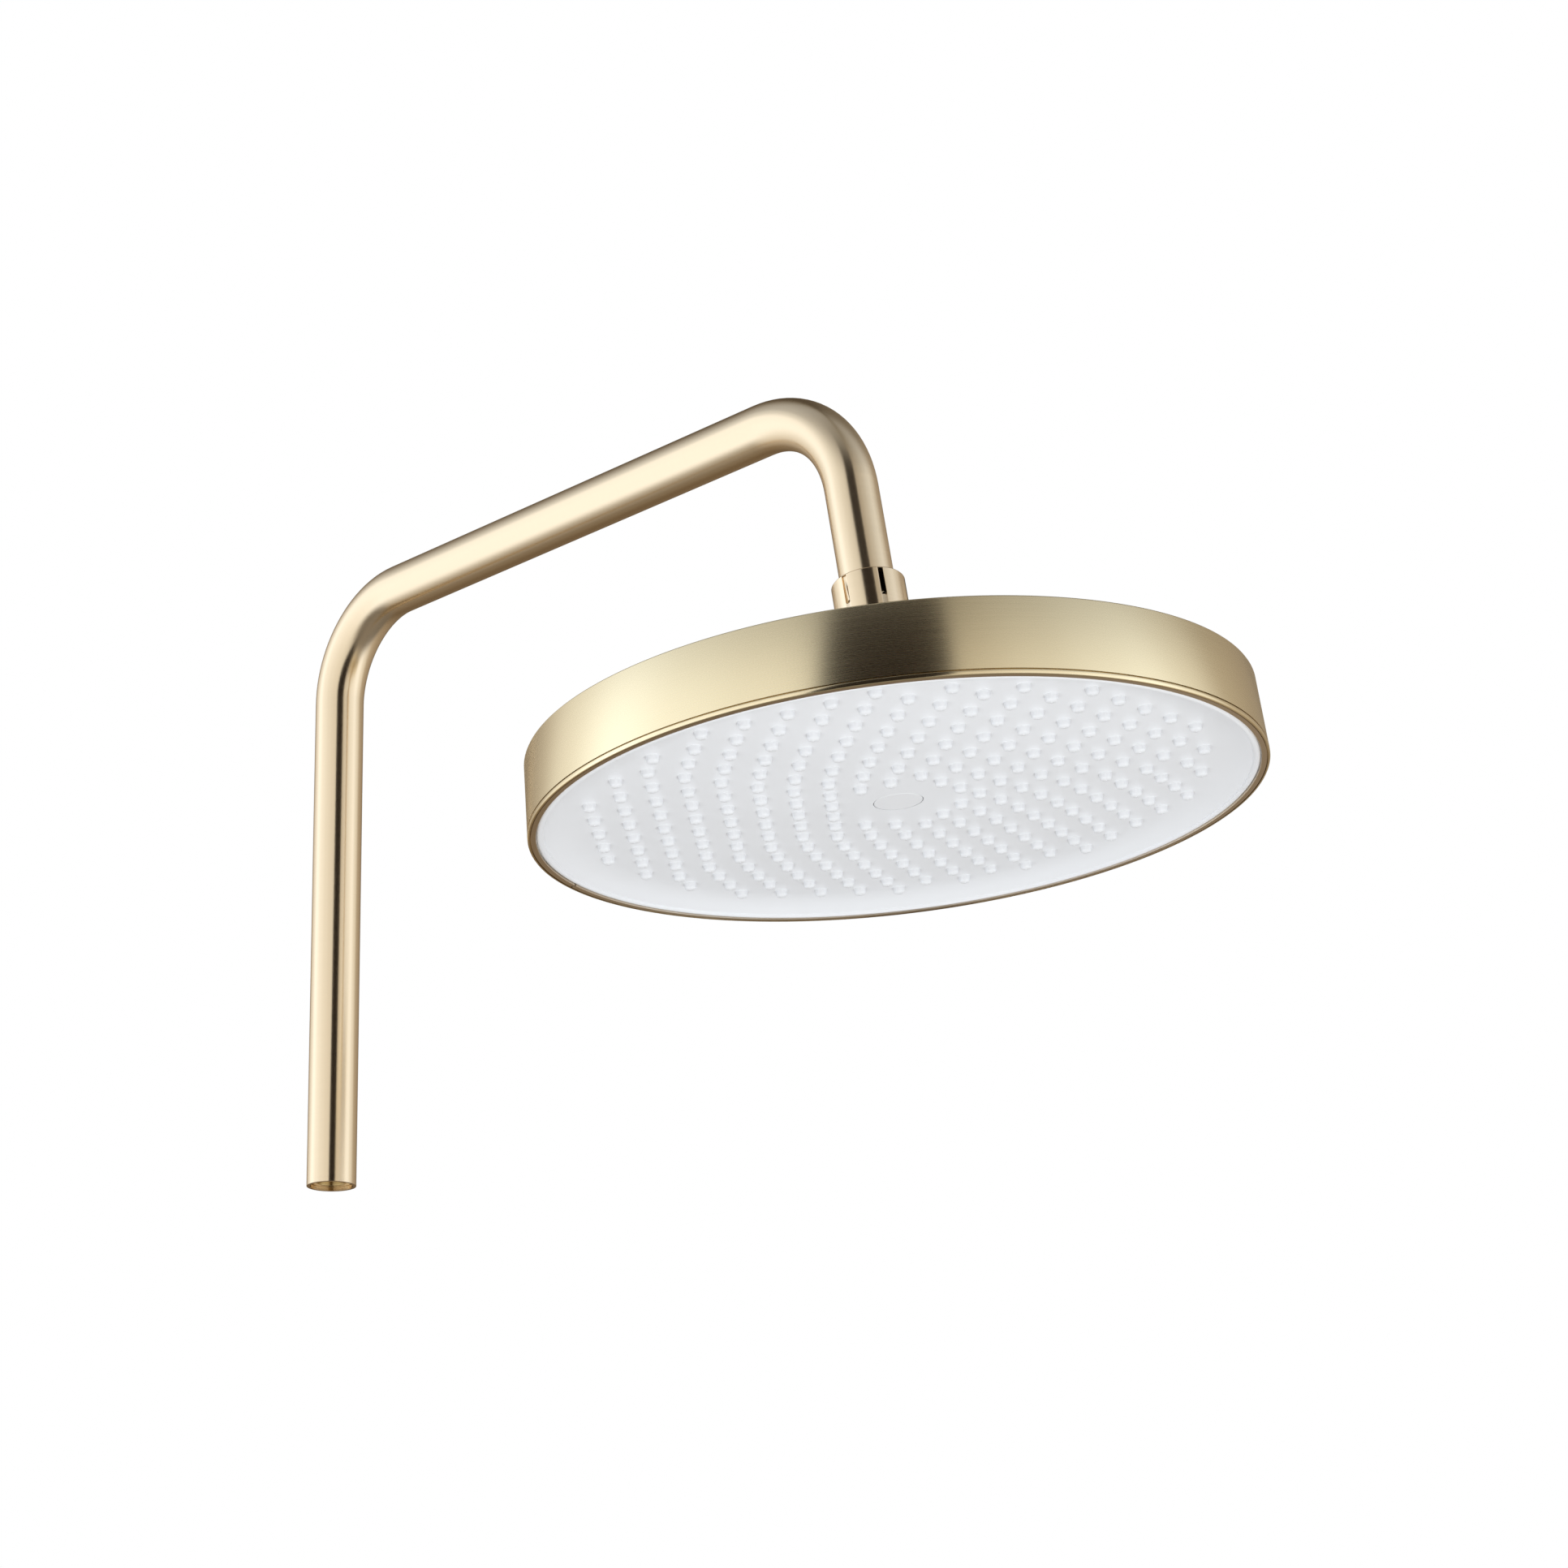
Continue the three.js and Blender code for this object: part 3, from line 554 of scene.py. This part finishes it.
bpy.ops.object.shade_smooth_by_angle(angle=math.radians(60))
nozzle_mat.data.materials.append(moulded("white_silicone", (0.845, 0.85, 0.855), (0.815, 0.82, 0.825), 0.42, 30,
                                         0.00001))
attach(nozzle_mat, "rain_head")
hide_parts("nozzle_mat")

# ---- centre cap -----------------------------------------------------------------------
# A small white cap snapped flush over the centre screw; only its hairline outline shows.
centre_cap = turned("centre_cap_moulded", [(8.1, 2.4), (8.25, 2.55), (8.25, 3.8), (7.3, 3.8), (7.3, 6.4), (6.3, 6.4),
                                           (6.3, 3.8)], rim_frame, closed=False)
centre_cap.data.materials.append(white_gloss)
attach(centre_cap, "rain_head")
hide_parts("centre_cap")

# ---- pieces inside the head -----------------------------------------------------------
# Moulded white carrier and back plates, drawn together by eight zinc-plated screws and one
# centre screw, make the water chamber.
dress(moulded("chamber_abs", (0.84, 0.84, 0.84), (0.8, 0.8, 0.8), 0.4, 40, 0.00002), "carrier_plate", "back_plate")
dress(gold_finish("screw_steel", (0.6, 0.6, 0.61), 0.35, 3000, rim_frame), "centre_screw",
      *["plate_screw_%d" % i for i in range(1, 9)])

# ---- floor and studio -----------------------------------------------------------------
# A pale floor well below the column, a wide soft studio round it and a dark card beside
# the lens for the metal to reflect.
start_shape()
bpy.ops.mesh.primitive_plane_add(size=14, location=(0, 0, -1.9))
floor = bpy.context.object
floor.name = "studio_floor"
floor_look = moulded("floor_paper", (0.9, 0.9, 0.89), (0.88, 0.88, 0.87), 0.8, 2, 0.0002)
floor.data.materials.append(floor_look)
floor.visible_glossy = False

studio = bpy.data.worlds.new("studio")
bpy.context.scene.world = studio
studio.use_nodes = True
nodes, links = studio.node_tree.nodes, studio.node_tree.links
surround = nodes["Background"]
way = nodes.new("ShaderNodeTexCoord")
compass = nodes.new("ShaderNodeMapping")
compass.vector_type = "POINT"
compass.inputs["Rotation"].default_value = (0, 0, math.radians(134.4))
links.new(way.outputs["Generated"], compass.inputs["Vector"])
split = nodes.new("ShaderNodeSeparateXYZ")
links.new(compass.outputs["Vector"], split.inputs[0])
bearing = nodes.new("ShaderNodeMath")
bearing.operation = "ARCTAN2"
links.new(split.outputs["Y"], bearing.inputs[0])
links.new(split.outputs["X"], bearing.inputs[1])
share = nodes.new("ShaderNodeMapRange")
share.inputs["From Min"].default_value, share.inputs["From Max"].default_value = -math.pi, math.pi
links.new(bearing.outputs[0], share.inputs["Value"])
walls = nodes.new("ShaderNodeValToRGB")
walls.color_ramp.interpolation = "EASE"
stops = walls.color_ramp.elements
for angle, bright in ((-180, 0.15), (-160, 0.24), (-144, 0.47), (-125, 0.85), (-97, 1.24), (-70, 1.05), (-45, 0.94), (-20, 0.85),
                      (20, 0.65), (45, 0.84), (65, 1.0), (84, 1.1), (103, 0.85), (125, 0.45), (152, 0.33), (180, 0.15)):
    stop = stops[0] if angle == -180 else stops[-1] if angle == 180 else stops.new((angle + 180) / 360)
    # each lamp is paler at its core and warmer where it falls off
    stop.position = (angle + 180) / 360
    stop.color = (bright, bright * (bright / 0.72) ** 0.2, bright * (bright / 0.72) ** 0.5, 1)
links.new(share.outputs["Result"], walls.inputs["Fac"])
upright = nodes.new("ShaderNodeMapRange")
upright.inputs["From Min"].default_value = -1
links.new(split.outputs["Z"], upright.inputs["Value"])
ceiling = nodes.new("ShaderNodeValToRGB")
ceiling.color_ramp.interpolation = "EASE"
stops = ceiling.color_ramp.elements
for level, bright in ((0, 1.15), (0.5, 1.15), (0.72, 1.1), (0.82, 0.72), (0.88, 0.5), (1, 0.4)):
    stop = stops[0] if level == 0 else stops[-1] if level == 1 else stops.new(level)
    stop.position, stop.color = level, (bright, bright, bright, 1)
links.new(upright.outputs["Result"], ceiling.inputs["Fac"])
upper = nodes.new("ShaderNodeMix")
upper.data_type, upper.blend_type = "RGBA", "MULTIPLY"
upper.inputs["Factor"].default_value = 1
links.new(walls.outputs["Color"], upper.inputs["A"])
links.new(ceiling.outputs["Color"], upper.inputs["B"])
ground = nodes.new("ShaderNodeValToRGB")
ground.color_ramp.interpolation = "EASE"
stops = ground.color_ramp.elements
for level, bright in ((0, 0.26), (0.1, 0.2), (0.17, 0.3), (1, 0.45)):
    stop = stops[0] if level == 0 else stops[-1] if level == 1 else stops.new(level)
    stop.position, stop.color = level, (bright, bright * 0.95, bright * 0.9, 1)
links.new(upright.outputs["Result"], ground.inputs["Fac"])
horizon = nodes.new("ShaderNodeMapRange")
horizon.interpolation_type = "SMOOTHSTEP"
horizon.inputs["From Min"].default_value, horizon.inputs["From Max"].default_value = -0.85, -0.55
links.new(split.outputs["Z"], horizon.inputs["Value"])
both = nodes.new("ShaderNodeMix")
both.data_type = "RGBA"
links.new(horizon.outputs["Result"], both.inputs["Factor"])
links.new(ground.outputs["Color"], both.inputs["A"])
links.new(upper.outputs["Result"], both.inputs["B"])
seen = nodes.new("ShaderNodeLightPath")
paper = nodes.new("ShaderNodeMix")
paper.data_type = "RGBA"
paper.inputs["B"].default_value = (1, 1, 1, 1)
links.new(seen.outputs["Is Camera Ray"], paper.inputs["Factor"])
links.new(both.outputs["Result"], paper.inputs["A"])
links.new(paper.outputs["Result"], surround.inputs["Color"])


def soft_light(name, place, target, size, power, glossy=False):
    """A square soft box aimed at a point; most light only the matt pieces."""
    data = bpy.data.lights.new(name, "AREA")
    data.shape, data.size, data.energy = "SQUARE", size, power
    light = bpy.data.objects.new(name, data)
    aim = Vector(target) - Vector(place)
    light.matrix_world = Matrix.Translation(place) @ aim.to_track_quat("-Z", "Y").to_matrix().to_4x4()
    light.visible_glossy = glossy
    light.visible_camera = False
    bpy.context.scene.collection.objects.link(light)
    return light


soft_light("face_light", (-1.1, -0.4, -1.1), (0, -0.3, 0.07), 0.9, 5.2)
soft_light("under_light", (-0.1, -1.15, -1.15), (0, -0.3, 0.07), 0.7, 9.5)

start_shape()
bpy.ops.mesh.primitive_plane_add(size=1, location=(-0.55, -0.78, 0.2),
                                 rotation=(math.pi / 2, 0, math.radians(-44.4)))
card = bpy.context.object
card.name = "dark_card"
card.scale = (0.5, 2, 1)
bpy.ops.object.transform_apply(location=True, rotation=True, scale=True)
card_look, card_nodes, card_links, card_shader = material_nodes("card_black")
felt = card_nodes.new("ShaderNodeTexNoise")
felt.inputs["Scale"].default_value = 60
felt_place = card_nodes.new("ShaderNodeTexCoord")
card_links.new(felt_place.outputs["Object"], felt.inputs["Vector"])
felt_tone = card_nodes.new("ShaderNodeMix")
felt_tone.data_type = "RGBA"
felt_tone.inputs["A"].default_value, felt_tone.inputs["B"].default_value = (0.014, 0.005, 0.001, 1), (0.019, 0.008, 0.002, 1)
card_links.new(felt.outputs["Fac"], felt_tone.inputs["Factor"])
card_links.new(felt_tone.outputs["Result"], card_shader.inputs["Base Color"])
card_shader.inputs["Roughness"].default_value = 0.9
card.data.materials.append(card_look)
card.visible_camera = card.visible_diffuse = card.visible_shadow = False
